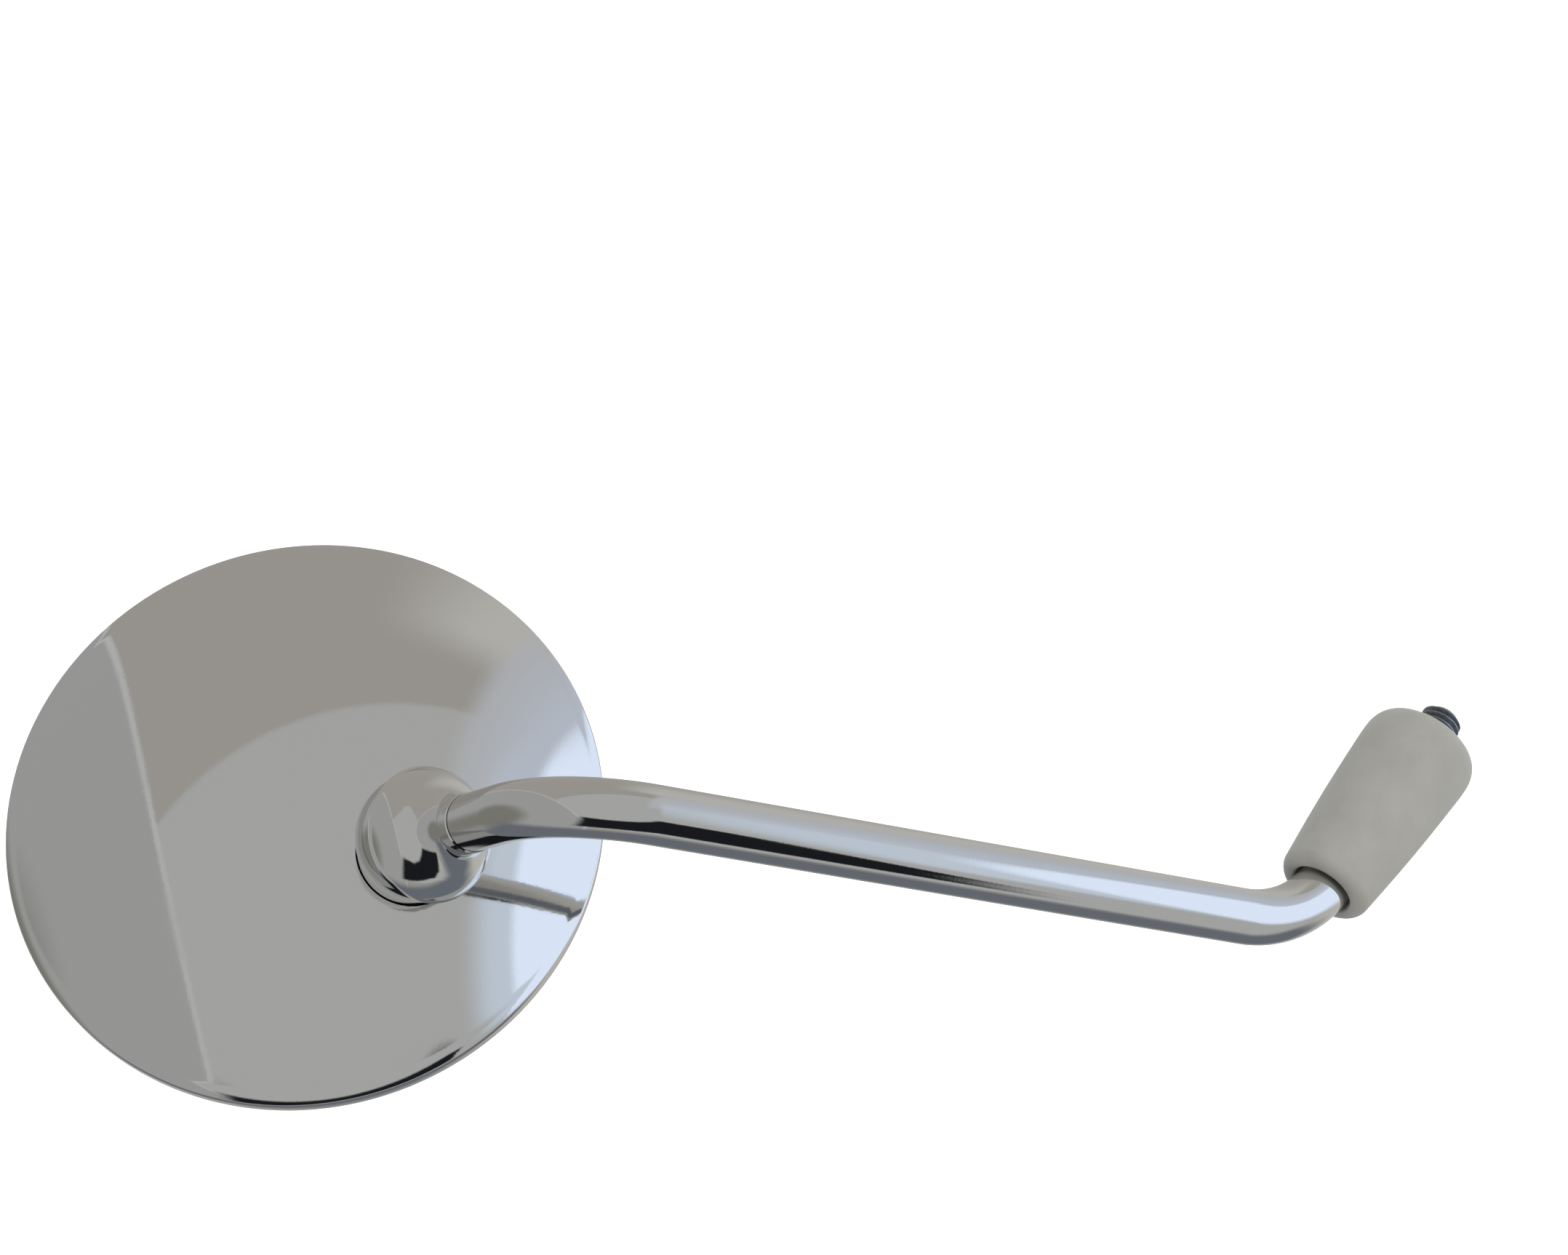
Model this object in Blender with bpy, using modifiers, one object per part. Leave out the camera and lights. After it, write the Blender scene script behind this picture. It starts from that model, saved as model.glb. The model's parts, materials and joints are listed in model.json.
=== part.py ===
"""Left-hand motorcycle mirror: a bent chrome stem on a threaded stud, a rubber sleeve and a round ball-jointed head.

The stud points down the -Z axis and the end of the stem tube is at the origin. The stem runs up and out
to -X, then turns back towards -Y, where the glass faces. Lengths are in metres and angles in degrees.
"""

from math import acos, asin, cos, degrees, pi, radians, sin, sqrt, tan

import bmesh
import bpy
from mathutils import Matrix, Vector

# Gap between two pieces that touch on the real mirror.
GAP = 0.0003

# Stem: a tube with two bends. A corner is where the straight axes on each side of a bend would meet.
TUBE_RADIUS = 0.005
TUBE_WALL = 0.0015
LOWER_CORNER_HEIGHT = 0.034
RUN_LENGTH = 0.138
NECK_LENGTH = 0.044
LOWER_BEND = 54.0
UPPER_BEND = 74.0
BEND_RADIUS = 0.022
BEND_STEPS = 8
TUBE_BEVEL_RESOLUTION = 8

# M8 stud and what travels on it.
STUD_RADIUS = 0.00395
STUD_LENGTH = 0.0215
STUD_CHAMFER = 0.0009
SPIGOT_RADIUS = TUBE_RADIUS - TUBE_WALL - GAP
SPIGOT_LENGTH = 0.014
HOLE_RADIUS = STUD_RADIUS + GAP
NUT_TOP = -0.0006
NUT_ACROSS_FLATS = 0.013
NUT_HEIGHT = 0.0065
SPRING_WASHER_RADIUS = 0.0068
SPRING_WASHER_THICKNESS = 0.002
SPRING_WASHER_RISE = 0.0004
SPRING_WASHER_TURN = 345.0
PLAIN_WASHER_RADIUS = 0.008
PLAIN_WASHER_THICKNESS = 0.0016

# Rubber sleeve: tight on the tube, wide over the nut, and relieved where it faces the bend.
SLEEVE_TOP = 0.025
SLEEVE_BOTTOM = -0.0137
SLEEVE_TOP_RADIUS = 0.0086
SLEEVE_WIDE_RADIUS = 0.0108
SLEEVE_WIDE_HEIGHT = -0.0082
SLEEVE_TOP_ROUND = 0.0028
SLEEVE_BOTTOM_ROUND = 0.0018
SLEEVE_MOUTH_RADIUS = 0.0056
SLEEVE_BORE_RADIUS = TUBE_RADIUS + GAP
SLEEVE_GRIP_TOP = 0.018
SLEEVE_GRIP_BOTTOM = 0.0088
SLEEVE_CAVITY_RADIUS = 0.0088
SLEEVE_CAVITY_TOP = 0.0078

# Ball joint. Every spherical face is centred on the ball centre.
BELL_RADIUS = 0.0122
BELL_WALL = 0.0005
BELL_LIP = 0.0031
BELL_NECK_START = 0.0086
BELL_NECK_FILLET = 0.0145
BELL_NECK_END = 0.0175
BELL_NECK_RADIUS = 0.0052
BALL_RADIUS = BELL_RADIUS - BELL_WALL - GAP
BALL_WALL = 0.0009
BALL_HOLE_ANGLE = 46.0
FRICTION_RING_RADIUS = BALL_RADIUS - BALL_WALL - GAP
FRICTION_RING_WALL = 0.0006
FRICTION_RING_END = 74.0
RING_RADIUS = FRICTION_RING_RADIUS - FRICTION_RING_WALL - GAP
RING_WALL = 0.0006
RING_START = 40.0
RING_END = 60.0
CUP_RADIUS = RING_RADIUS - RING_WALL - GAP
CUP_WALL = 0.0012
CUP_END = 62.0
BOLT_RADIUS = 0.0025
BOLT_HOLE_RADIUS = BOLT_RADIUS + GAP
BOLT_END = -0.009
BOLT_CHAMFER = 0.0005
BOLT_SPIGOT_LENGTH = 0.0085
SPRING_TOP = 0.0055
SPRING_BOTTOM = -0.002
SPRING_RADIUS = 0.0036
SPRING_WIRE_RADIUS = 0.00045
SPRING_TURNS = 4.5
SPRING_POINTS_PER_TURN = 12
SPRING_PLATE_RADIUS = 0.0052
SPRING_PLATE_THICKNESS = 0.001
SWIVEL_NUT_ACROSS_FLATS = 0.008
SWIVEL_NUT_HEIGHT = 0.004

# Head: a domed shell. The rim plane holds the widest circle, and the ball is off the dome's centre.
HEAD_RADIUS = 0.055
DOME_HEIGHT = 0.017
SHELL_WALL = 0.0008
RIM_DEPTH = 0.0037
RIM_LIP = 0.0009
BALL_OFFSET = 0.0275
BALL_HEIGHT = 0.026
HEAD_YAW = 18.5
HEAD_PITCH = 7.0
HEAD_ROLL = 10.0
DOME_SPHERE = (HEAD_RADIUS**2 + DOME_HEIGHT**2) / (2 * DOME_HEIGHT)

# Post under the ball, its flange inside the dome and the plate that holds the flange.
POST_RADIUS = 0.0098
POST_WALL = 0.001
FLANGE_RADIUS = 0.0145
FLANGE_THICKNESS = 0.001
PLATE_HOLE_RADIUS = 0.0094
PLATE_RADIUS = 0.021
PLATE_THICKNESS = 0.0012

# Glass and the pieces round it.
GLASS_RADIUS = 0.0506
GLASS_THICKNESS = 0.0023
GLASS_FRONT = -0.002
GLASS_CURVE = 1.067
PAD_RADIUS = 0.042
PAD_THICKNESS = 0.0025
GASKET_RADIUS = 0.0515
GASKET_INNER_RADIUS = 0.0487
GASKET_FRONT = -0.0036
GASKET_BACK = 0.0009
GASKET_ROUND = 0.0003
BEZEL_INNER_RADIUS = GASKET_RADIUS + GAP
BEZEL_OUTER_RADIUS = 0.0539
BEZEL_BACK = -0.0006
BEZEL_STEP = -0.0025
BEZEL_BEAD_RADIUS = 0.0529
BEZEL_FRONT = -0.0039

LARGE_STEPS = 48
BALL_STEPS = 32
SLEEVE_STEPS = 28
SMALL_STEPS = 20

# Directions of the stem, from the stud to the ball.
UP = Vector((0, 0, 1))
RUN = Vector((-sin(radians(LOWER_BEND)), 0, cos(radians(LOWER_BEND))))
NECK = RUN * cos(radians(UPPER_BEND)) + Vector((0, -1, 0)) * sin(radians(UPPER_BEND))
LOWER_CORNER = UP * LOWER_CORNER_HEIGHT
UPPER_CORNER = LOWER_CORNER + RUN * RUN_LENGTH
BALL_CENTRE = UPPER_CORNER + NECK * NECK_LENGTH


def clear_scene():
    for obj in list(bpy.data.objects):
        bpy.data.objects.remove(obj, do_unlink=True)


def new_collection(name):
    collection = bpy.data.collections.new(name)
    bpy.context.scene.collection.children.link(collection)
    return collection


def principled(name, colour, roughness, metallic):
    material = bpy.data.materials.new(name)
    material.use_nodes = True
    shader = material.node_tree.nodes["Principled BSDF"]
    shader.inputs["Base Color"].default_value = (*colour, 1.0)
    shader.inputs["Roughness"].default_value = roughness
    shader.inputs["Metallic"].default_value = metallic
    return material


def add_object(name, data, collection, parent, material=None):
    obj = bpy.data.objects.new(name, data)
    collection.objects.link(obj)
    obj.parent = parent
    if material:
        data.materials.append(material)
    return obj


def add_frame(name, collection, matrix, parent=None):
    """An empty that holds a turning axis (its Z) and the point that it passes through."""
    frame = bpy.data.objects.new(name, None)
    collection.objects.link(frame)
    frame.parent = parent
    frame.matrix_local = matrix
    return frame


def frame_along(origin, direction):
    """A matrix at origin whose Z lies along direction."""
    turn = direction.to_track_quat("Z", "Y").to_matrix().to_4x4()
    return Matrix.Translation(origin) @ turn


def arc(centre_z, radius, start, end, steps):
    """(r, z) points on a circle centred on the axis, by angle from +Z."""
    points = []
    for step in range(steps + 1):
        angle = radians(start + (end - start) * step / steps)
        points.append((radius * sin(angle), centre_z + radius * cos(angle)))
    return points


def corner(centre, radius, start, end, steps=3):
    """(r, z) points of a rounded corner, by angle from the outward direction towards +Z."""
    points = []
    for step in range(steps + 1):
        angle = radians(start + (end - start) * step / steps)
        points.append((centre[0] + radius * cos(angle), centre[1] + radius * sin(angle)))
    return points


def lathe(name, outline, steps, collection, parent, material, closed=True):
    """Turns an (r, z) outline about Z. It runs down the outer side, from top to bottom."""
    mesh = bpy.data.meshes.new(name)
    shape = bmesh.new()
    points = [shape.verts.new((r, 0, z)) for r, z in outline]
    for first, second in zip(points, points[1:]):
        shape.edges.new((first, second))
    if closed:
        shape.edges.new((points[-1], points[0]))
    shape.to_mesh(mesh)
    shape.free()
    obj = add_object(name, mesh, collection, parent, material)
    screw = obj.modifiers.new("Turn", "SCREW")
    screw.steps = steps
    screw.render_steps = steps
    screw.use_merge_vertices = True
    screw.merge_threshold = 0.00001
    screw.use_smooth_shade = True
    return obj


def washer(name, inner, outer, top, thickness, steps, collection, parent, material):
    bottom = top - thickness
    outline = [(inner, top), (outer, top), (outer, bottom), (inner, bottom)]
    return lathe(name, outline, steps, collection, parent, material)


def hex_nut(name, across_flats, height, bore, top, collection, cutters, parent, material):
    mesh = bpy.data.meshes.new(name)
    shape = bmesh.new()
    corner_radius = across_flats / 2 / cos(radians(30))
    middle = Matrix.Translation((0, 0, top - height / 2))
    bmesh.ops.create_cone(
        shape, cap_ends=True, segments=6, radius1=corner_radius, radius2=corner_radius, depth=height, matrix=middle
    )
    shape.to_mesh(mesh)
    shape.free()
    nut = add_object(name, mesh, collection, parent, material)
    cutter = add_cutter(name + "_bore", bore, 2 * height, top - height / 2, cutters, parent)
    cut(nut, cutter)
    return nut


def add_cutter(name, radius, depth, middle_z, cutters, parent):
    mesh = bpy.data.meshes.new(name)
    shape = bmesh.new()
    bmesh.ops.create_cone(
        shape,
        cap_ends=True,
        segments=SMALL_STEPS,
        radius1=radius,
        radius2=radius,
        depth=depth,
        matrix=Matrix.Translation((0, 0, middle_z)),
    )
    shape.to_mesh(mesh)
    shape.free()
    cutter = add_object(name, mesh, cutters, parent)
    cutter.hide_render = True
    cutter.display_type = "WIRE"
    return cutter


def cut(obj, cutter):
    boolean = obj.modifiers.new("Cut", "BOOLEAN")
    boolean.operation = "DIFFERENCE"
    boolean.solver = "EXACT"
    boolean.object = cutter


def bend_points(corner_point, before, after, angle):
    """The axis of the tube round one bend, from the end of one straight to the start of the next."""
    setback = BEND_RADIUS * tan(radians(angle) / 2)
    start = corner_point - before * setback
    inward = (after - before * before.dot(after)).normalized()
    points = []
    for step in range(BEND_STEPS + 1):
        turned = radians(angle) * step / BEND_STEPS
        points.append(start + before * BEND_RADIUS * sin(turned) + inward * BEND_RADIUS * (1 - cos(turned)))
    return points


def stem_tube(collection, material):
    neck_end = BALL_CENTRE - NECK * (BELL_NECK_END + GAP)
    route = [Vector((0, 0, 0))]
    route += bend_points(LOWER_CORNER, UP, RUN, LOWER_BEND)
    route += bend_points(UPPER_CORNER, RUN, NECK, UPPER_BEND)
    route.append(neck_end)
    curve = bpy.data.curves.new("stem_route", "CURVE")
    curve.dimensions = "3D"
    curve.bevel_depth = TUBE_RADIUS
    curve.bevel_resolution = TUBE_BEVEL_RESOLUTION
    spline = curve.splines.new("POLY")
    spline.points.add(len(route) - 1)
    for point, place in zip(spline.points, route):
        point.co = (*place, 1.0)
    guide = add_object("stem_route", curve, collection, None)
    graph = bpy.context.evaluated_depsgraph_get()
    mesh = bpy.data.meshes.new_from_object(guide.evaluated_get(graph))
    tube = add_object("stem_tube", mesh, collection, None, material)
    tube.matrix_world = guide.matrix_world
    bpy.data.objects.remove(guide)
    bpy.data.curves.remove(curve)
    shell = tube.modifiers.new("Wall", "SOLIDIFY")
    shell.thickness = TUBE_WALL
    shell.offset = -1
    shell.use_even_offset = True
    mesh.shade_smooth()
    mesh.set_sharp_from_angle(angle=radians(40))
    return tube


def threaded_stud(collection, material):
    outline = [
        (0, SPIGOT_LENGTH),
        (SPIGOT_RADIUS - STUD_CHAMFER / 2, SPIGOT_LENGTH),
        (SPIGOT_RADIUS, SPIGOT_LENGTH - STUD_CHAMFER / 2),
        (SPIGOT_RADIUS, -GAP),
        (STUD_RADIUS, -GAP),
        (STUD_RADIUS, STUD_CHAMFER - STUD_LENGTH),
        (STUD_RADIUS - STUD_CHAMFER, -STUD_LENGTH),
        (0, -STUD_LENGTH),
    ]
    return lathe("threaded_stud", outline, SMALL_STEPS, collection, None, material, closed=False)


def spring_washer(top, collection, parent, material):
    """A split ring that rises a little in its turn, made by spinning its square section."""
    mesh = bpy.data.meshes.new("spring_washer")
    shape = bmesh.new()
    bottom = top - SPRING_WASHER_THICKNESS
    sides = [
        (HOLE_RADIUS, top),
        (SPRING_WASHER_RADIUS, top),
        (SPRING_WASHER_RADIUS, bottom),
        (HOLE_RADIUS, bottom),
    ]
    section = shape.faces.new([shape.verts.new((r, 0, z)) for r, z in sides])
    steps = SMALL_STEPS
    bmesh.ops.spin(
        shape,
        geom=[section, *section.edges, *section.verts],
        cent=(0, 0, 0),
        axis=(0, 0, 1),
        dvec=(0, 0, -SPRING_WASHER_RISE / steps),
        angle=radians(SPRING_WASHER_TURN),
        steps=steps,
        use_duplicate=False,
    )
    bmesh.ops.recalc_face_normals(shape, faces=shape.faces)
    shape.to_mesh(mesh)
    shape.free()
    return add_object("spring_washer", mesh, collection, parent, material)


def rubber_sleeve(collection, parent, material):
    outline = [(SLEEVE_MOUTH_RADIUS, SLEEVE_TOP)]
    top_round = (SLEEVE_TOP_RADIUS - SLEEVE_TOP_ROUND * 0.7, SLEEVE_TOP - SLEEVE_TOP_ROUND)
    outline += [
        (top_round[0] + SLEEVE_TOP_ROUND * 0.7 * sin(radians(turn)), top_round[1] + SLEEVE_TOP_ROUND * cos(radians(turn)))
        for turn in (20, 50, 85)
    ]
    outline.append((SLEEVE_WIDE_RADIUS, SLEEVE_WIDE_HEIGHT))
    bottom_round = (SLEEVE_WIDE_RADIUS - SLEEVE_BOTTOM_ROUND, SLEEVE_BOTTOM + 2 * SLEEVE_BOTTOM_ROUND)
    outline += [
        (bottom_round[0] + SLEEVE_BOTTOM_ROUND * cos(radians(turn)), bottom_round[1] - 2 * SLEEVE_BOTTOM_ROUND * sin(radians(turn)))
        for turn in (10, 35, 60, 85)
    ]
    outline += [
        (SLEEVE_CAVITY_RADIUS, SLEEVE_BOTTOM),
        (SLEEVE_CAVITY_RADIUS, SLEEVE_CAVITY_TOP),
        (SLEEVE_BORE_RADIUS, SLEEVE_GRIP_BOTTOM),
        (SLEEVE_BORE_RADIUS, SLEEVE_GRIP_TOP),
    ]
    return lathe("rubber_sleeve", outline, SLEEVE_STEPS, collection, parent, material)


def swivel_bell(collection, parent, material):
    """A cap round the ball that narrows into the tube. Its bore lets the swivel bolt through."""
    lip_angle = degrees(acos(BELL_LIP / BELL_RADIUS))
    shoulder_angle = degrees(acos(BELL_NECK_START / BELL_RADIUS))
    inner_radius = BELL_RADIUS - BELL_WALL
    inner_lip_angle = degrees(acos(BELL_LIP / inner_radius))
    inner_start = degrees(asin(BOLT_HOLE_RADIUS / inner_radius))
    shoulder = (BELL_RADIUS * sin(radians(shoulder_angle)), BELL_NECK_START)
    outline = [(BOLT_HOLE_RADIUS, BELL_NECK_END), (BELL_NECK_RADIUS, BELL_NECK_END)]
    for share in (0, 0.3, 0.6, 0.85):
        height = BELL_NECK_FILLET + (shoulder[1] - BELL_NECK_FILLET) * share
        radius = BELL_NECK_RADIUS + (shoulder[0] - BELL_NECK_RADIUS) * share**2
        outline.append((radius, height))
    outline += arc(0, BELL_RADIUS, shoulder_angle, lip_angle, 4)
    outline += arc(0, inner_radius, inner_lip_angle, inner_start, 6)
    return lathe("swivel_bell", outline, BALL_STEPS, collection, parent, material)


def swivel_bolt(collection, parent, material):
    """Fixed in the tube by its thick end, it runs through the bell and the ball to its nut."""
    shoulder = BELL_NECK_END + GAP
    outline = [
        (0, shoulder + BOLT_SPIGOT_LENGTH),
        (SPIGOT_RADIUS, shoulder + BOLT_SPIGOT_LENGTH),
        (SPIGOT_RADIUS, shoulder),
        (BOLT_RADIUS, shoulder),
        (BOLT_RADIUS, BOLT_END + BOLT_CHAMFER),
        (BOLT_RADIUS - BOLT_CHAMFER, BOLT_END),
        (0, BOLT_END),
    ]
    return lathe("swivel_bolt", outline, SMALL_STEPS, collection, parent, material, closed=False)


def spherical_ring(name, outer_radius, wall, start, end, steps, collection, parent, material):
    """A zone of a spherical shell, between two angles from the axis."""
    outline = arc(0, outer_radius, start, end, 3)
    outline += arc(0, outer_radius - wall, end, start, 3)
    return lathe(name, outline, steps, collection, parent, material)


def pressure_cup(collection, parent, material):
    start = degrees(asin(BOLT_HOLE_RADIUS / CUP_RADIUS))
    inner_radius = CUP_RADIUS - CUP_WALL
    inner_start = degrees(asin(BOLT_HOLE_RADIUS / inner_radius))
    inner_end = degrees(acos(CUP_RADIUS * cos(radians(CUP_END)) / inner_radius))
    outline = arc(0, CUP_RADIUS, start, CUP_END, 4)
    outline += arc(0, inner_radius, inner_end, inner_start, 4)
    return lathe("pressure_cup", outline, BALL_STEPS - 8, collection, parent, material)


def tension_spring(collection, parent, material):
    curve = bpy.data.curves.new("tension_spring", "CURVE")
    curve.dimensions = "3D"
    curve.bevel_depth = SPRING_WIRE_RADIUS
    curve.bevel_resolution = 1
    curve.use_fill_caps = True
    count = round(SPRING_TURNS * SPRING_POINTS_PER_TURN)
    top = SPRING_TOP - SPRING_WIRE_RADIUS
    bottom = SPRING_BOTTOM + SPRING_WIRE_RADIUS
    spline = curve.splines.new("POLY")
    spline.points.add(count)
    for index, point in enumerate(spline.points):
        angle = 2 * pi * index / SPRING_POINTS_PER_TURN
        height = top + (bottom - top) * index / count
        point.co = (SPRING_RADIUS * cos(angle), SPRING_RADIUS * sin(angle), height, 1.0)
    return add_object("tension_spring", curve, collection, parent, material)


def dome_depth(radius, wall):
    """Height of the dome's face, wall below its outer face, at a radius from the ball's axis. Origin: ball centre."""
    centre = -(DOME_SPHERE + ball_clearance())
    return centre + sqrt((DOME_SPHERE - wall) ** 2 - radius**2)


def ball_clearance():
    """Distance from the dome's outer face to the ball centre."""
    below = BALL_HEIGHT - (DOME_HEIGHT - DOME_SPHERE)
    return sqrt(BALL_OFFSET**2 + below**2) - DOME_SPHERE


def ball_base(collection, parent, material):
    """The hollow ball, the post it stands on and the flange that lies against the inside of the dome."""
    inner_radius = BALL_RADIUS - BALL_WALL
    inner_post = POST_RADIUS - POST_WALL
    neck_angle = 180 - degrees(asin(POST_RADIUS / BALL_RADIUS))
    inner_neck_angle = 180 - degrees(asin(inner_post / inner_radius))
    under_dome = SHELL_WALL + GAP
    flange_root = dome_depth(POST_RADIUS, under_dome)
    flange_edge = dome_depth(FLANGE_RADIUS, under_dome)
    outline = arc(0, BALL_RADIUS, BALL_HOLE_ANGLE, neck_angle, 7)
    outline += [
        (POST_RADIUS, flange_root),
        (FLANGE_RADIUS, flange_edge),
        (FLANGE_RADIUS, flange_edge - FLANGE_THICKNESS),
        (inner_post, flange_root - FLANGE_THICKNESS),
    ]
    outline += arc(0, inner_radius, inner_neck_angle, BALL_HOLE_ANGLE, 7)
    return lathe("ball_base", outline, BALL_STEPS, collection, parent, material)


def reinforcing_plate(collection, parent, material):
    """A ring welded inside the dome, stepped down where it holds the flange."""
    under_dome = SHELL_WALL + GAP
    under_flange = under_dome + FLANGE_THICKNESS + GAP
    step_radius = FLANGE_RADIUS + GAP
    ramp = PLATE_THICKNESS / 2
    outline = [
        (PLATE_HOLE_RADIUS, dome_depth(PLATE_HOLE_RADIUS, under_flange)),
        (step_radius, dome_depth(step_radius, under_flange)),
        (step_radius + ramp, dome_depth(step_radius + ramp, under_dome)),
        (PLATE_RADIUS, dome_depth(PLATE_RADIUS, under_dome)),
        (PLATE_RADIUS, dome_depth(PLATE_RADIUS, under_dome) - PLATE_THICKNESS),
        (step_radius + 2 * ramp, dome_depth(step_radius + 2 * ramp, under_dome) - PLATE_THICKNESS),
        (step_radius + ramp, dome_depth(step_radius + ramp, under_flange) - PLATE_THICKNESS),
        (PLATE_HOLE_RADIUS, dome_depth(PLATE_HOLE_RADIUS, under_flange) - PLATE_THICKNESS),
    ]
    return lathe("reinforcing_plate", outline, BALL_STEPS, collection, parent, material)


def shell(collection, cutters, parent, base_frame, material):
    """The dome, its short rim and the edge folded in over the bezel, with a hole for the post."""
    centre = DOME_HEIGHT - DOME_SPHERE
    rim_angle = degrees(asin(HEAD_RADIUS / DOME_SPHERE))
    inner_sphere = DOME_SPHERE - SHELL_WALL
    inner_rim = HEAD_RADIUS - SHELL_WALL
    inner_angle = degrees(asin(inner_rim / inner_sphere))
    fold = HEAD_RADIUS - SHELL_WALL - RIM_LIP
    outline = arc(centre, DOME_SPHERE, 0, rim_angle, 9)
    outline += corner((HEAD_RADIUS - SHELL_WALL, SHELL_WALL - RIM_DEPTH), SHELL_WALL, 0, -90)
    outline += [(fold, -RIM_DEPTH), (fold, SHELL_WALL - RIM_DEPTH), (inner_rim, SHELL_WALL - RIM_DEPTH)]
    outline += arc(centre, inner_sphere, inner_angle, 0, 9)
    dome = lathe("shell", outline, LARGE_STEPS, collection, parent, material, closed=False)
    hole_depth = 4 * FLANGE_THICKNESS
    middle = dome_depth(POST_RADIUS, SHELL_WALL / 2)
    cutter = add_cutter("post_hole", POST_RADIUS + GAP, hole_depth, middle, cutters, base_frame)
    cut(dome, cutter)
    return dome


def glass_height(radius, behind):
    """Height of the glass's front face at a radius, or of a face that lies behind it."""
    return GLASS_FRONT + behind + radius**2 / (2 * GLASS_CURVE)


def curved_disc(name, radius, back, front, steps, collection, parent, material):
    """A round sheet that follows the curve of the glass, between two distances behind its front face."""
    shares = (0, 0.35, 0.7, 1)
    outline = [(radius * share, glass_height(radius * share, back)) for share in shares]
    outline += [(radius * share, glass_height(radius * share, front)) for share in reversed(shares)]
    return lathe(name, outline, steps, collection, parent, material, closed=False)


def gasket(collection, parent, material):
    """Black ring round the edge of the glass. Its face slopes from the bezel down to the glass."""
    behind_glass_edge = GLASS_RADIUS + GAP
    face_outer = GASKET_RADIUS - GASKET_ROUND
    outline = [
        (behind_glass_edge, GASKET_BACK),
        (GASKET_RADIUS, GASKET_BACK),
        (GASKET_RADIUS, GASKET_FRONT + GASKET_ROUND),
        (face_outer, GASKET_FRONT),
        (face_outer - 2 * GASKET_ROUND, GASKET_FRONT),
        (GASKET_INNER_RADIUS + GASKET_ROUND, glass_height(GASKET_INNER_RADIUS, -1.2 * PAD_THICKNESS / 2)),
        (GASKET_INNER_RADIUS, glass_height(GASKET_INNER_RADIUS, -2 * GAP)),
        (GASKET_INNER_RADIUS, glass_height(GASKET_INNER_RADIUS, -GAP)),
        (behind_glass_edge, glass_height(behind_glass_edge, -GAP)),
    ]
    return lathe("gasket", outline, LARGE_STEPS, collection, parent, material)


def bezel_ring(collection, parent, material):
    """Thin chrome ring between the gasket and the folded edge of the shell."""
    bead_middle = (BEZEL_INNER_RADIUS + BEZEL_BEAD_RADIUS) / 2
    bead_round = (BEZEL_BEAD_RADIUS - BEZEL_INNER_RADIUS) / 2
    outline = [
        (BEZEL_INNER_RADIUS, BEZEL_BACK),
        (BEZEL_OUTER_RADIUS, BEZEL_BACK),
        (BEZEL_OUTER_RADIUS, BEZEL_STEP),
        (BEZEL_BEAD_RADIUS, BEZEL_STEP),
    ]
    outline += corner((bead_middle, BEZEL_FRONT + bead_round), bead_round, 0, -180, 4)
    return lathe("bezel_ring", outline, LARGE_STEPS, collection, parent, material)


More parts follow.
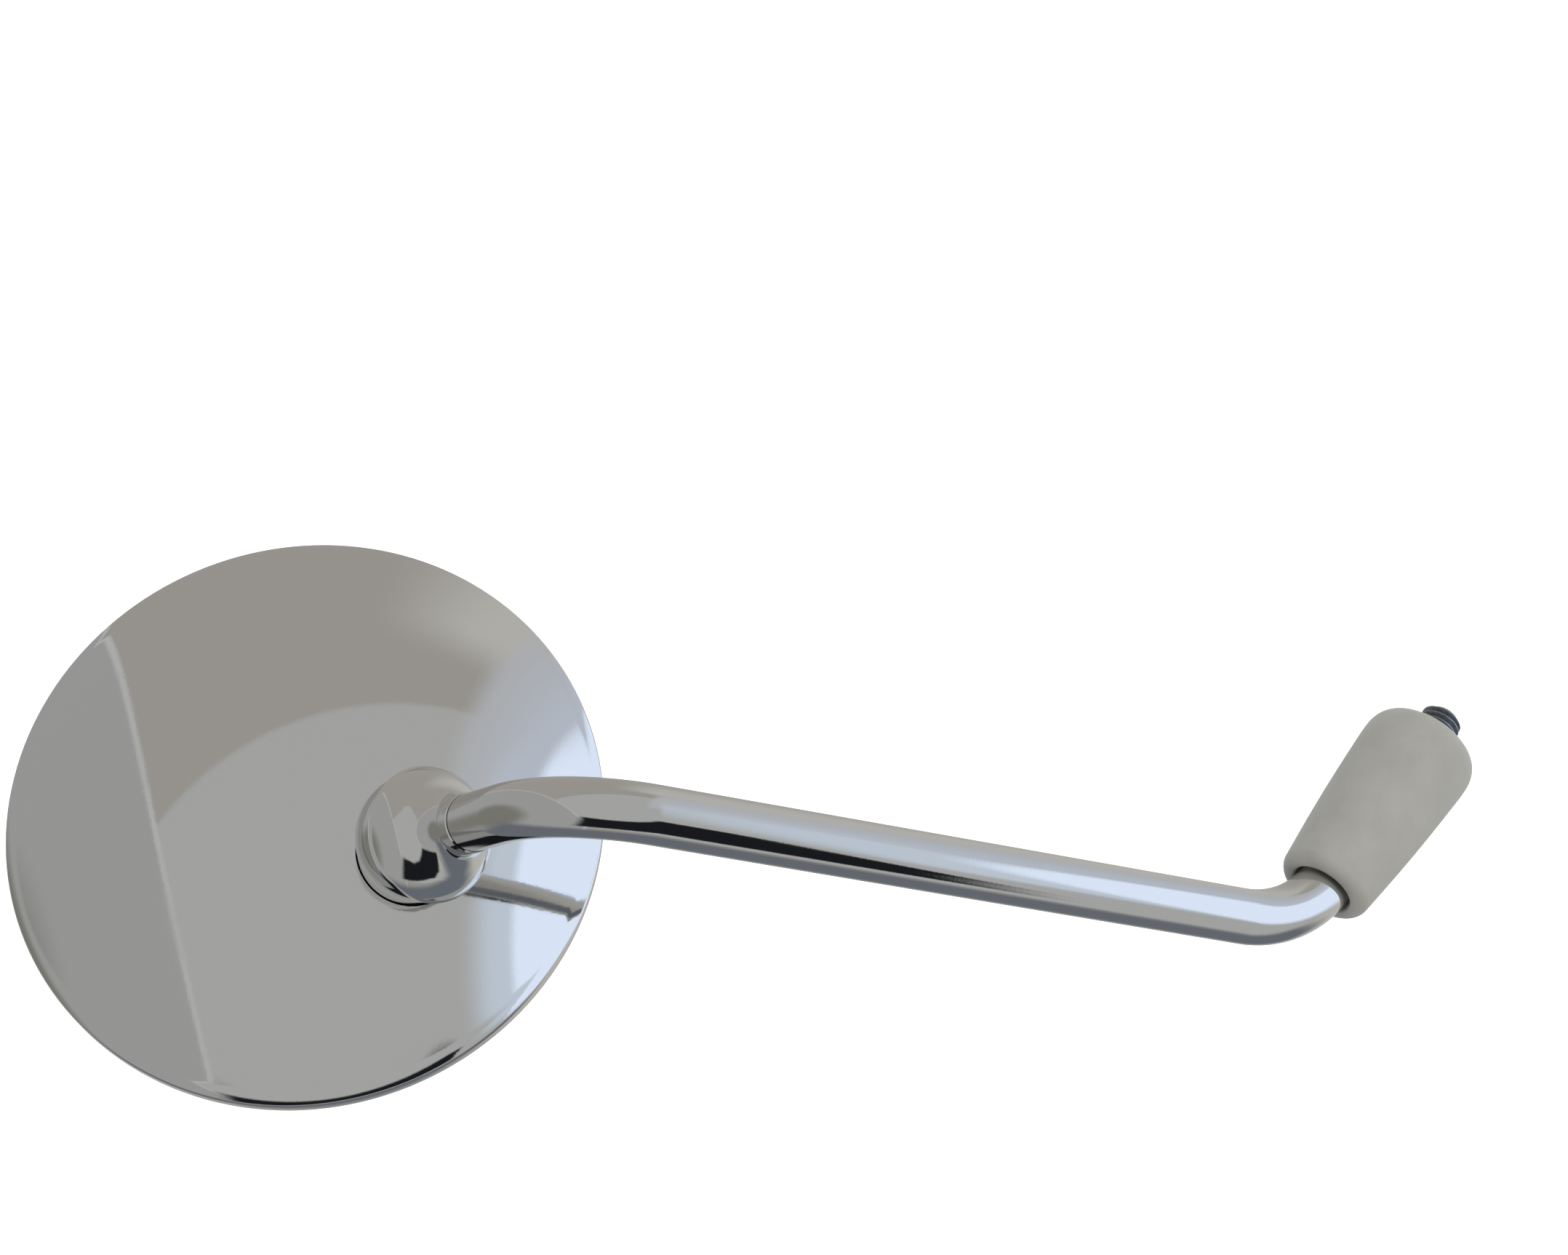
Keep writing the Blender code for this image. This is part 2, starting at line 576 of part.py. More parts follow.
def main():
    clear_scene()
    parts = new_collection("motorcycle_mirror")
    cutters = new_collection("cutters")

    chrome = principled("chrome", (0.78, 0.78, 0.77), 0.06, 1.0)
    zinc = principled("zinc_plated_steel", (0.52, 0.53, 0.54), 0.35, 1.0)
    spring_steel = principled("spring_steel", (0.36, 0.36, 0.37), 0.4, 1.0)
    rubber_grey = principled("grey_rubber", (0.25, 0.25, 0.24), 0.7, 0.0)
    rubber_black = principled("black_rubber", (0.01, 0.01, 0.01), 0.45, 0.0)
    nylon = principled("nylon", (0.75, 0.73, 0.66), 0.45, 0.0)
    foam = principled("foam", (0.08, 0.08, 0.08), 0.9, 0.0)
    silvered = principled("silvered_glass", (0.9, 0.92, 0.92), 0.02, 1.0)

    bell_frame = add_frame("bell_axis", parts, frame_along(BALL_CENTRE, -NECK))
    head_turn = Matrix.Rotation(radians(HEAD_YAW), 4, "Z") @ Matrix.Rotation(radians(HEAD_PITCH), 4, "X")
    head_turn = head_turn @ Matrix.Rotation(radians(HEAD_ROLL), 4, "Y") @ Matrix.Rotation(-pi / 2, 4, "X")
    ball_in_head = Vector((BALL_OFFSET, 0, BALL_HEIGHT))
    head_centre = BALL_CENTRE - head_turn @ ball_in_head
    head_frame = add_frame("head_centre", parts, Matrix.Translation(head_centre) @ head_turn)
    base_direction = ball_in_head - Vector((0, 0, DOME_HEIGHT - DOME_SPHERE))
    base_frame = add_frame("ball_axis", parts, frame_along(ball_in_head, base_direction), head_frame)
    ring_frame = add_frame("swivel_ring_axis", parts, frame_along(BALL_CENTRE, ring_direction(head_turn @ base_direction)))
    sleeve_frame = add_frame("sleeve_axis", parts, Matrix.Identity(4))
    nut_frame = add_frame("nut_axis", parts, Matrix.Identity(4))

    stem_tube(parts, chrome)
    threaded_stud(parts, zinc)
    swivel_bell(parts, bell_frame, chrome)
    swivel_bolt(parts, bell_frame, zinc)
    pressure_cup(parts, bell_frame, zinc)
    tension_spring(parts, bell_frame, spring_steel)
    plate_top = SPRING_BOTTOM - GAP
    washer(
        "spring_plate",
        BOLT_HOLE_RADIUS,
        SPRING_PLATE_RADIUS,
        plate_top,
        SPRING_PLATE_THICKNESS,
        SMALL_STEPS,
        parts,
        bell_frame,
        zinc,
    )
    swivel_nut_top = plate_top - SPRING_PLATE_THICKNESS - GAP
    hex_nut(
        "swivel_nut",
        SWIVEL_NUT_ACROSS_FLATS,
        SWIVEL_NUT_HEIGHT,
        BOLT_HOLE_RADIUS,
        swivel_nut_top,
        parts,
        cutters,
        bell_frame,
        zinc,
    )

    spherical_ring("swivel_ring", RING_RADIUS, RING_WALL, RING_START, RING_END, BALL_STEPS, parts, ring_frame, nylon)
    spherical_ring(
        "friction_ring",
        FRICTION_RING_RADIUS,
        FRICTION_RING_WALL,
        BALL_HOLE_ANGLE,
        FRICTION_RING_END,
        BALL_STEPS,
        parts,
        base_frame,
        nylon,
    )

    ball_base(parts, base_frame, chrome)
    reinforcing_plate(parts, base_frame, zinc)
    shell(parts, cutters, head_frame, base_frame, chrome)
    bezel_ring(parts, head_frame, chrome)
    gasket(parts, head_frame, rubber_black)
    curved_disc("mirror_glass", GLASS_RADIUS, GLASS_THICKNESS, 0, LARGE_STEPS, parts, head_frame, silvered)
    pad_front = GLASS_THICKNESS + GAP
    curved_disc("backing_pad", PAD_RADIUS, pad_front + PAD_THICKNESS, pad_front, BALL_STEPS, parts, head_frame, foam)

    rubber_sleeve(parts, sleeve_frame, rubber_grey)
    hex_nut("lock_nut", NUT_ACROSS_FLATS, NUT_HEIGHT, HOLE_RADIUS, NUT_TOP, parts, cutters, nut_frame, zinc)
    spring_washer_top = NUT_TOP - NUT_HEIGHT - GAP
    spring_washer(spring_washer_top, parts, nut_frame, spring_steel)
    plain_washer_top = spring_washer_top - SPRING_WASHER_THICKNESS - SPRING_WASHER_RISE - GAP
    washer(
        "plain_washer",
        HOLE_RADIUS,
        PLAIN_WASHER_RADIUS,
        plain_washer_top,
        PLAIN_WASHER_THICKNESS,
        SMALL_STEPS,
        parts,
        nut_frame,
        zinc,
    )


def ring_direction(base_direction):
    """The swivel ring yaws with the head and doesn't tip: it has the bell's tilt and the ball's bearing."""
    bell = -NECK
    level = Vector((base_direction.x, base_direction.y, 0)).normalized()
    return level * sqrt(bell.x**2 + bell.y**2) + UP * bell.z


main()
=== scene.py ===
"""Left-hand motorcycle mirror: chrome stem, ball-jointed round head, rubber sleeve and M8 stud."""

import json
from math import acos, asin, cos, degrees, pi, radians, sin, sqrt, tan

import bmesh
import bpy
from mathutils import Matrix, Vector


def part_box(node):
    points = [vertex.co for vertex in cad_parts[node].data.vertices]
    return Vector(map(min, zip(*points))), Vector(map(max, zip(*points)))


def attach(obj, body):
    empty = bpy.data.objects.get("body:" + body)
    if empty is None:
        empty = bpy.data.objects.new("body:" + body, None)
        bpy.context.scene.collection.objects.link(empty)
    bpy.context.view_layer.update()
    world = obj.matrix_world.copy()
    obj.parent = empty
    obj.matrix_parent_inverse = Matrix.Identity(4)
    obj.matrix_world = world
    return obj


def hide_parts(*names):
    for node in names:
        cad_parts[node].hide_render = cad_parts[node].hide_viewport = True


bl_info = {
    "name": "Motorcycle Mirror",
    "version": (1, 0, 0),
    "blender": (4, 5, 0),
    "location": "View3D > Sidebar > Mirror",
    "description": "Builds a round chrome handlebar mirror on a bent stem",
    "category": "Add Mesh",
}

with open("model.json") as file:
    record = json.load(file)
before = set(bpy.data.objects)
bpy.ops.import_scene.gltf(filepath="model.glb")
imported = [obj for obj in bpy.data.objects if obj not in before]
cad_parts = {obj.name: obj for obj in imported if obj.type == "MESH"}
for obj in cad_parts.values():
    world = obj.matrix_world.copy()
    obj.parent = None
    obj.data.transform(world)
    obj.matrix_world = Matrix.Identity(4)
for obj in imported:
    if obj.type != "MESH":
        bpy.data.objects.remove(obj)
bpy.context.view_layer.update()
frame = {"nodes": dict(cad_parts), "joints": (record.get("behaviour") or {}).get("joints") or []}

# Gap between two pieces that touch on the real mirror, in metres.
GAP = 0.0003

# Sizes that more than one piece shares, in metres.
BELL_NECK_END = 0.0175
POST_RADIUS = 0.0098
STUD_BORE = 0.00425

# The glass: the height of its front face's middle over the head's rim, and the radius of its curve.
GLASS_FRONT = -0.002
GLASS_CURVE = 1.067

# The floor lies this far under the mirror's origin.
FLOOR_LEVEL = -0.16

# The room's sides, as directions: the window wall, the ceiling and the far side. The camera looks at the far
# side, with the window wall on its right.
WINDOW_SIDE = Vector((0.7026, 0.3688, -0.6086))
CEILING = Vector((-0.7075, 0.2712, -0.6526))
FAR_SIDE = Vector((0.0756, -0.8891, -0.4514))


def srgb(code):
    """A hex colour as linear red, green, blue and alpha."""
    channels = []
    for start in (0, 2, 4):
        value = int(code[start : start + 2], 16) / 255
        channels.append(value / 12.92 if value <= 0.04045 else ((value + 0.055) / 1.055) ** 2.4)
    return (*channels, 1.0)


class MirrorStem(bpy.types.PropertyGroup):
    tube_radius: bpy.props.FloatProperty(
        name="Tube radius", description="Outside radius of the stem tube", default=0.005, unit="LENGTH"
    )
    tube_wall: bpy.props.FloatProperty(
        name="Tube wall", description="Wall of the stem tube", default=0.0015, unit="LENGTH"
    )
    corner_height: bpy.props.FloatProperty(
        name="Lower corner", description="Height of the lower bend's corner", default=0.034, unit="LENGTH"
    )
    run: bpy.props.FloatProperty(
        name="Run", description="Distance between the two bends' corners", default=0.138, unit="LENGTH"
    )
    neck: bpy.props.FloatProperty(
        name="Neck", description="Upper corner to the ball's centre", default=0.044, unit="LENGTH"
    )
    lower_bend: bpy.props.FloatProperty(
        name="Lower bend", description="Angle that the lower bend turns", default=radians(54), subtype="ANGLE"
    )
    upper_bend: bpy.props.FloatProperty(
        name="Upper bend", description="Angle that the upper bend turns", default=radians(74), subtype="ANGLE"
    )
    bend_radius: bpy.props.FloatProperty(
        name="Bend radius", description="Radius of both bends' axes", default=0.022, unit="LENGTH"
    )


class MirrorHead(bpy.types.PropertyGroup):
    radius: bpy.props.FloatProperty(
        name="Head radius", description="Outside radius of the head", default=0.055, unit="LENGTH"
    )
    dome: bpy.props.FloatProperty(
        name="Dome height", description="Height of the dome over its rim", default=0.017, unit="LENGTH"
    )
    wall: bpy.props.FloatProperty(name="Shell wall", description="Shell sheet", default=0.0008, unit="LENGTH")
    rim_depth: bpy.props.FloatProperty(
        name="Rim depth", description="Depth of the shell's rim", default=0.0037, unit="LENGTH"
    )
    ball_offset: bpy.props.FloatProperty(
        name="Ball offset", description="Ball's distance off the dome's middle", default=0.0275, unit="LENGTH"
    )
    ball_height: bpy.props.FloatProperty(
        name="Ball height", description="Ball's height over the rim", default=0.026, unit="LENGTH"
    )
    yaw: bpy.props.FloatProperty(
        name="Yaw", description="How far the glass faces the rider", default=radians(18.5), subtype="ANGLE"
    )
    pitch: bpy.props.FloatProperty(
        name="Pitch", description="How far the glass faces down", default=radians(7), subtype="ANGLE"
    )
    roll: bpy.props.FloatProperty(
        name="Roll", description="Turn of the head on its own axis", default=radians(10), subtype="ANGLE"
    )
    glass_radius: bpy.props.FloatProperty(
        name="Glass radius", description="Radius of the glass under its gasket", default=0.0506, unit="LENGTH"
    )


class MirrorFinish(bpy.types.PropertyGroup):
    chrome: bpy.props.FloatVectorProperty(
        name="Chrome", description="Chrome plate", subtype="COLOR", size=4, default=srgb("DBDBDA"),
        min=0, max=1,
    )
    zinc: bpy.props.FloatVectorProperty(
        name="Zinc", description="Zinc plate", subtype="COLOR", size=4, default=srgb("A5AAB0"),
        min=0, max=1,
    )
    sleeve: bpy.props.FloatVectorProperty(
        name="Sleeve", description="Grey rubber", subtype="COLOR", size=4, default=srgb("8C8B86"),
        min=0, max=1,
    )
    gasket: bpy.props.FloatVectorProperty(
        name="Gasket", description="Black rubber", subtype="COLOR", size=4, default=srgb("17181A"),
        min=0, max=1,
    )
    floor: bpy.props.FloatVectorProperty(
        name="Floor", description="Studio floor", subtype="COLOR", size=4, default=srgb("F6F6F5"),
        min=0, max=1,
    )


# Materials


def new_material(name):
    material = bpy.data.materials.new(name)
    material.use_nodes = True
    return material, material.node_tree.nodes["Principled BSDF"]


def node(material, kind, links=(), **settings):
    """Adds one node. links holds (input, source output) pairs, settings its properties and input values."""
    made = material.node_tree.nodes.new("ShaderNode" + kind)
    for key, value in settings.items():
        if hasattr(made, key):
            setattr(made, key, value)
        else:
            made.inputs[key.replace("_", " ")].default_value = value
    for key, source in links:
        material.node_tree.links.new(source, made.inputs[key])
    return made


def link(material, source, shader, name):
    material.node_tree.links.new(source, shader.inputs[name])


def object_place(material):
    return node(material, "TexCoord").outputs["Object"]


def chrome_plate(colour):
    """Chromium plate on buffed steel: clear reflections with faint buffing lines and wiped-off haze."""
    material, shader = new_material("chrome_plate_buffed")
    shader.inputs["Base Color"].default_value = colour
    shader.inputs["Metallic"].default_value = 1.0
    place = object_place(material)
    # Wiping leaves soft patches about 15 mm across.
    haze = node(material, "TexNoise", [("Vector", place)], Scale=65.0, Detail=3.0, Roughness=0.55)
    rough = node(
        material, "MapRange", [("Value", haze.outputs["Fac"])],
        From_Min=0.35, From_Max=0.75, To_Min=0.035, To_Max=0.075,
    )
    link(material, rough.outputs["Result"], shader, "Roughness")
    # Buffing marks are 0.05 mm apart. They are drawn 0.6 mm apart so that they show.
    swirl = node(material, "TexNoise", [("Vector", place)], Scale=1600.0, Detail=2.0)
    bump = node(material, "Bump", [("Height", swirl.outputs["Fac"])], Strength=0.012, Distance=0.0002)
    link(material, bump.outputs["Normal"], shader, "Normal")
    return material


def zinc_plate(colour):
    """Electroplated zinc on machined steel: dull, bluish grey, with a fine uneven spangle."""
    material, shader = new_material("zinc_plated_steel")
    shader.inputs["Metallic"].default_value = 1.0
    place = object_place(material)
    # Plating spangle is about 0.7 mm.
    spangle = node(material, "TexNoise", [("Vector", place)], Scale=1400.0, Detail=4.0, Roughness=0.6)
    tone = node(material, "ValToRGB", [("Fac", spangle.outputs["Fac"])])
    tone.color_ramp.elements[0].position = 0.3
    tone.color_ramp.elements[0].color = tuple(0.62 * part for part in colour[:3]) + (1.0,)
    tone.color_ramp.elements[1].position = 0.72
    tone.color_ramp.elements[1].color = colour
    link(material, tone.outputs["Color"], shader, "Base Color")
    rough = node(
        material, "MapRange", [("Value", spangle.outputs["Fac"])],
        From_Min=0.3, From_Max=0.7, To_Min=0.28, To_Max=0.46,
    )
    link(material, rough.outputs["Result"], shader, "Roughness")
    bump = node(material, "Bump", [("Height", spangle.outputs["Fac"])], Strength=0.12, Distance=0.0002)
    link(material, bump.outputs["Normal"], shader, "Normal")
    return material


def moulded_rubber(name, colour, roughness, mottle, grain_strength):
    """Moulded rubber: matte with a soft sheen at grazing angles, a fine grain and a slightly uneven bloom."""
    material, shader = new_material(name)
    shader.inputs["IOR"].default_value = 1.52
    shader.inputs["Sheen Weight"].default_value = 0.12
    shader.inputs["Sheen Roughness"].default_value = 0.5
    place = object_place(material)
    # Bloom shows as patches about 6 mm across.
    bloom = node(material, "TexNoise", [("Vector", place)], Scale=170.0, Detail=4.0, Roughness=0.6)
    tone = node(material, "ValToRGB", [("Fac", bloom.outputs["Fac"])])
    tone.color_ramp.elements[0].position = 0.3
    tone.color_ramp.elements[0].color = tuple((1 - mottle) * part for part in colour[:3]) + (1.0,)
    tone.color_ramp.elements[1].position = 0.7
    tone.color_ramp.elements[1].color = tuple(min(1, (1 + mottle) * part) for part in colour[:3]) + (1.0,)
    link(material, tone.outputs["Color"], shader, "Base Color")
    rough = node(
        material, "MapRange", [("Value", bloom.outputs["Fac"])],
        From_Min=0.3, From_Max=0.7, To_Min=roughness - 0.06, To_Max=roughness + 0.08,
    )
    link(material, rough.outputs["Result"], shader, "Roughness")
    # The mould's blasted face leaves a grain of about 0.3 mm.
    grain = node(material, "TexNoise", [("Vector", place)], Scale=3200.0, Detail=3.0)
    height = [("Height", grain.outputs["Fac"])]
    bump = node(material, "Bump", height, Strength=grain_strength, Distance=0.0002)
    link(material, bump.outputs["Normal"], shader, "Normal")
    return material


def silvered_glass():
    """Float glass silvered on its back: a bright, nearly neutral mirror under a polished clear face."""
    material, shader = new_material("silvered_glass")
    shader.inputs["Base Color"].default_value = srgb("F1F4F4")
    shader.inputs["Metallic"].default_value = 1.0
    shader.inputs["Coat Weight"].default_value = 0.6
    shader.inputs["Coat Roughness"].default_value = 0.01
    place = object_place(material)
    # Finger haze on the glass, in patches about 20 mm across.
    haze = node(material, "TexNoise", [("Vector", place)], Scale=50.0, Detail=2.0)
    rough = node(
        material, "MapRange", [("Value", haze.outputs["Fac"])],
        From_Min=0.4, From_Max=0.8, To_Min=0.012, To_Max=0.03,
    )
    link(material, rough.outputs["Result"], shader, "Roughness")
    return material


def spring_steel():
    """Oiled spring steel: dark, smooth, with brownish patches where the oil has dried."""
    material, shader = new_material("oiled_spring_steel")
    shader.inputs["Metallic"].default_value = 1.0
    place = object_place(material)
    oil = node(material, "TexNoise", [("Vector", place)], Scale=500.0, Detail=3.0)
    tone = node(material, "ValToRGB", [("Fac", oil.outputs["Fac"])])
    tone.color_ramp.elements[0].color = srgb("4B4640")
    tone.color_ramp.elements[1].color = srgb("8A8A8A")
    link(material, tone.outputs["Color"], shader, "Base Color")
    rough = node(
        material, "MapRange", [("Value", oil.outputs["Fac"])],
        From_Min=0.3, From_Max=0.7, To_Min=0.3, To_Max=0.5,
    )
    link(material, rough.outputs["Result"], shader, "Roughness")
    return material


def natural_nylon():
    """Machined natural nylon: off-white, slightly waxy, with faint turning lines."""
    material, shader = new_material("natural_nylon")
    shader.inputs["Roughness"].default_value = 0.42
    shader.inputs["IOR"].default_value = 1.53
    shader.inputs["Subsurface Weight"].default_value = 0.1
    place = object_place(material)
    lines = node(material, "TexNoise", [("Vector", place)], Scale=900.0, Detail=2.0)
    tone = node(material, "ValToRGB", [("Fac", lines.outputs["Fac"])])
    tone.color_ramp.elements[0].color = srgb("CFC9B8")
    tone.color_ramp.elements[1].color = srgb("E6E2D4")
    link(material, tone.outputs["Color"], shader, "Base Color")
    return material


def closed_cell_foam():
    """Closed-cell foam: black, very matte, with cells about 0.8 mm across."""
    material, shader = new_material("closed_cell_foam")
    shader.inputs["Roughness"].default_value = 0.92
    place = object_place(material)
    cells = node(material, "TexVoronoi", [("Vector", place)], Scale=1250.0)
    tone = node(material, "ValToRGB", [("Fac", cells.outputs["Distance"])])
    tone.color_ramp.elements[0].color = srgb("141414")
    tone.color_ramp.elements[1].color = srgb("2B2B2B")
    link(material, tone.outputs["Color"], shader, "Base Color")
    bump = node(material, "Bump", [("Height", cells.outputs["Distance"])], Strength=0.5, Distance=0.0003)
    link(material, bump.outputs["Normal"], shader, "Normal")
    return material


def studio_paint(colour):
    """Matt white acrylic lit from behind: plain and pale, with a stipple too faint to see as a pattern."""
    material, shader = new_material("backlit_white_acrylic")
    shader.inputs["Base Color"].default_value = colour
    shader.inputs["Roughness"].default_value = 0.9
    shader.inputs["Specular IOR Level"].default_value = 0.1
    shader.inputs["Emission Color"].default_value = (1.0, 1.0, 1.0, 1.0)
    shader.inputs["Emission Strength"].default_value = 0.75
    stipple = node(material, "TexNoise", [("Vector", object_place(material))], Scale=400.0)
    bump = node(material, "Bump", [("Height", stipple.outputs["Fac"])], Strength=0.01, Distance=0.0002)
    link(material, bump.outputs["Normal"], shader, "Normal")
    return material


def studio_room():
    """A plain room for the chrome to reflect: grey walls, a cool window, a dark floor and a black screen."""
    world = bpy.data.worlds.new("studio_room")
    world.use_nodes = True
    background = world.node_tree.nodes["Background"]
    strength = 1.35
    direction = node(world, "TexCoord").outputs["Generated"]

    def towards(axis, low, high):
        """1 where the direction lies along axis by more than high, 0 by less than low, and smooth between."""
        along = node(world, "VectorMath", [("Vector", direction)], operation="DOT_PRODUCT")
        along.inputs[1].default_value = axis
        ramp = node(world, "MapRange", [("Value", along.outputs["Value"])], From_Min=low, From_Max=high)
        ramp.interpolation_type = "SMOOTHSTEP"
        return ramp.outputs["Result"]

    def both(first, second):
        return node(world, "Math", [(0, first), (1, second)], operation="MULTIPLY").outputs[0]

    def lit(colour):
        return tuple(strength * part for part in srgb(colour)[:3]) + (1.0,)

    def painted(below, mask, colour):
        mixed = node(world, "MixRGB", [("Fac", mask), ("Color1", below)])
        mixed.inputs["Color2"].default_value = lit(colour)
        return mixed.outputs["Color"]

    wall = node(world, "RGB")
    wall.outputs[0].default_value = lit("A4A5A4")
    # The ceiling starts where the far wall's top edge runs across the view.
    upper = FAR_SIDE * 0.937 + CEILING * 0.116 - WINDOW_SIDE * 0.33
    room = painted(wall.outputs[0], towards(upper, -0.365, -0.335), "989590")
    # It is paler behind, and where the window lights it.
    room = painted(room, both(towards(WINDOW_SIDE, 0.0, 0.4), towards(FAR_SIDE, -0.15, 0.1)), "B1AFAA")
    room = painted(room, both(towards(WINDOW_SIDE, 0.42, 0.52), towards(CEILING, 0.3, 0.5)), "ADAFB3")
    # The left wall, with a thin pale strip along its edge.
    left = (-WINDOW_SIDE - CEILING * 0.25).normalized()
    room = painted(room, towards(left, 0.470, 0.480), "AEAFAE")
    room = painted(room, towards(left, 0.488, 0.498), "979897")
    room = painted(room, towards(left, 0.84, 0.96), "76756F")
    # The window, brightest at its far end, and the wall over it.
    beside = both(towards(CEILING, -0.42, -0.2), towards(-CEILING, -0.76, -0.6))
    room = painted(room, both(towards(WINDOW_SIDE, 0.55, 0.68), beside), "BCC6D3")
    room = painted(room, both(towards(WINDOW_SIDE, 0.5, 0.72), towards(CEILING, 0.5, 0.62)), "B2B9C5")
    room = painted(room, both(towards(WINDOW_SIDE, 0.71, 0.745), beside), "DCE8FB")
    # The dark floor behind.
    below = both(towards(-CEILING, 0.45, 0.7), towards(FAR_SIDE, -0.25, 0.05))
    room = painted(room, below, "63686F")
    # A black screen low down in front.
    slant = WINDOW_SIDE * -0.876 + CEILING * 0.482
    screen = both(towards(-WINDOW_SIDE, -0.56, -0.53), towards(slant, -0.80, -0.75))
    screen = both(screen, both(towards(FAR_SIDE, -0.84, -0.79), towards(-FAR_SIDE, 0.28, 0.35)))
    screen = both(screen, towards(WINDOW_SIDE, -0.4, -0.3))
    room = painted(room, both(screen, towards(-CEILING, 0.3, 0.37)), "191A1D")
    world.node_tree.links.new(room, background.inputs["Color"])
    background.inputs["Strength"].default_value = 1.0
    return world


MAKERS = {
    "chrome": lambda finish: chrome_plate(tuple(finish.chrome)),
    "zinc": lambda finish: zinc_plate(tuple(finish.zinc)),
    "grey_rubber": lambda finish: moulded_rubber(
        "grey_moulded_rubber", tuple(finish.sleeve), roughness=0.62, mottle=0.06, grain_strength=0.16
    ),
    "black_rubber": lambda finish: moulded_rubber(
        "black_moulded_rubber", tuple(finish.gasket), roughness=0.42, mottle=0.15, grain_strength=0.1
    ),
    "silvered_glass": lambda finish: silvered_glass(),
    "spring_steel": lambda finish: spring_steel(),
    "nylon": lambda finish: natural_nylon(),
    "foam": lambda finish: closed_cell_foam(),
}
MATERIALS = {}


def material_for(context, slot):
    if slot not in MATERIALS:
        MATERIALS[slot] = MAKERS[slot](context.scene.mirror_finish)
    return MATERIALS[slot]


# Directions and places


def joint_place(name):
    joint = next(joint for joint in frame["joints"] if joint["name"] == name)
    return Vector(joint["pos_m"])


def frame_along(origin, direction):
    """A matrix at origin whose Z lies along direction."""
    return Matrix.Translation(origin) @ direction.to_track_quat("Z", "Y").to_matrix().to_4x4()


def stem_lines(stem):
    """The lower corner, the upper corner, and the run's and the neck's directions."""
    run = Vector((-sin(stem.lower_bend), 0, cos(stem.lower_bend)))
    neck = run * cos(stem.upper_bend) + Vector((0, -1, 0)) * sin(stem.upper_bend)
    lower = Vector((0, 0, stem.corner_height))
    return lower, lower + run * stem.run, run, neck


def ball_centre():
    return joint_place("head_spin")


def bell_place(context):
    neck = stem_lines(context.scene.mirror_stem)[3]
    return frame_along(ball_centre(), -neck)


def dome_sphere(head):
    return (head.radius**2 + head.dome**2) / (2 * head.dome)


def head_place(context):
    head = context.scene.mirror_head
    turn = Matrix.Rotation(head.yaw, 4, "Z") @ Matrix.Rotation(head.pitch, 4, "X")
    turn = turn @ Matrix.Rotation(head.roll, 4, "Y") @ Matrix.Rotation(-pi / 2, 4, "X")
    middle = ball_centre() - turn @ Vector((head.ball_offset, 0, head.ball_height))
    return Matrix.Translation(middle) @ turn


def base_place(context):
    """The post's axis: out of the dome's sphere and through the ball."""
    head = context.scene.mirror_head
    ball = Vector((head.ball_offset, 0, head.ball_height))
    outward = ball - Vector((0, 0, head.dome - dome_sphere(head)))
    return head_place(context) @ frame_along(ball, outward)


def dome_level(head, radius, depth):
    """Height of a face at a depth under the dome, at a radius from the post's axis. Origin: ball centre."""
    sphere = dome_sphere(head)
    below = head.ball_height - (head.dome - sphere)
    distance = sqrt(head.ball_offset**2 + below**2)
    return sqrt((sphere - depth) ** 2 - radius**2) - distance


# Mesh helpers


def arc(radius, start, end, steps, centre=(0.0, 0.0)):
    """(r, z) points on a circle, by angle from +Z towards +r, in degrees."""
    points = []
    for step in range(steps + 1):
        angle = radians(start + (end - start) * step / steps)
        points.append((centre[0] + radius * sin(angle), centre[1] + radius * cos(angle)))
    return points


def turned_shape(outline, steps, closed=True, place=None):
    """A bmesh of an (r, z) outline spun about Z."""
    shape = bmesh.new()
    points = [shape.verts.new((r, 0, z)) for r, z in outline]
    edges = [shape.edges.new(pair) for pair in zip(points, points[1:])]
    if closed:
        edges.append(shape.edges.new((points[-1], points[0])))
    bmesh.ops.spin(
        shape, geom=points + edges, cent=(0, 0, 0), axis=(0, 0, 1), angle=2 * pi, steps=steps, use_merge=True
    )
    bmesh.ops.remove_doubles(shape, verts=shape.verts, dist=1e-6)
    bmesh.ops.recalc_face_normals(shape, faces=shape.faces)
    if place:
        bmesh.ops.transform(shape, matrix=place, verts=shape.verts)
    return shape


def add_piece(context, name, shape, slot, body, replaced, sharp=35):
    """Makes an object of a bmesh, finishes it, sets it on its body and hides the CAD nodes it stands for."""
    mesh = bpy.data.meshes.new(name)
    shape.to_mesh(mesh)
    shape.free()
    mesh.shade_smooth()
    mesh.set_sharp_from_angle(angle=radians(sharp))
    piece = bpy.data.objects.new(name, mesh)
    context.scene.collection.objects.link(piece)
    mesh.materials.append(material_for(context, slot))
    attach(piece, body)
    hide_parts(*replaced)
    return piece


def cut_with(context, piece, shape, operation, sharp):
    """Cuts a piece with a second shape, then removes the cutter."""
    mesh = bpy.data.meshes.new("cutter")
    shape.to_mesh(mesh)
    shape.free()
    cutter = bpy.data.objects.new("cutter", mesh)
    context.scene.collection.objects.link(cutter)
    boolean = piece.modifiers.new("Cut", "BOOLEAN")
    boolean.operation = operation
    boolean.solver = "EXACT"
    boolean.object = cutter
    graph = context.evaluated_depsgraph_get()
    piece.data = bpy.data.meshes.new_from_object(piece.evaluated_get(graph))
    piece.modifiers.clear()
    bpy.data.objects.remove(cutter)
    piece.data.shade_smooth()
    piece.data.set_sharp_from_angle(angle=radians(sharp))


def soften(piece, width, segments=2, angle=35):
    """Rounds the piece's hard edges."""
    bevel = piece.modifiers.new("Edges", "BEVEL")
    bevel.width = width
    bevel.segments = segments
    bevel.limit_method = "ANGLE"
    bevel.angle_limit = radians(angle)
    bevel.use_clamp_overlap = True
    bevel.harden_normals = True
    return piece


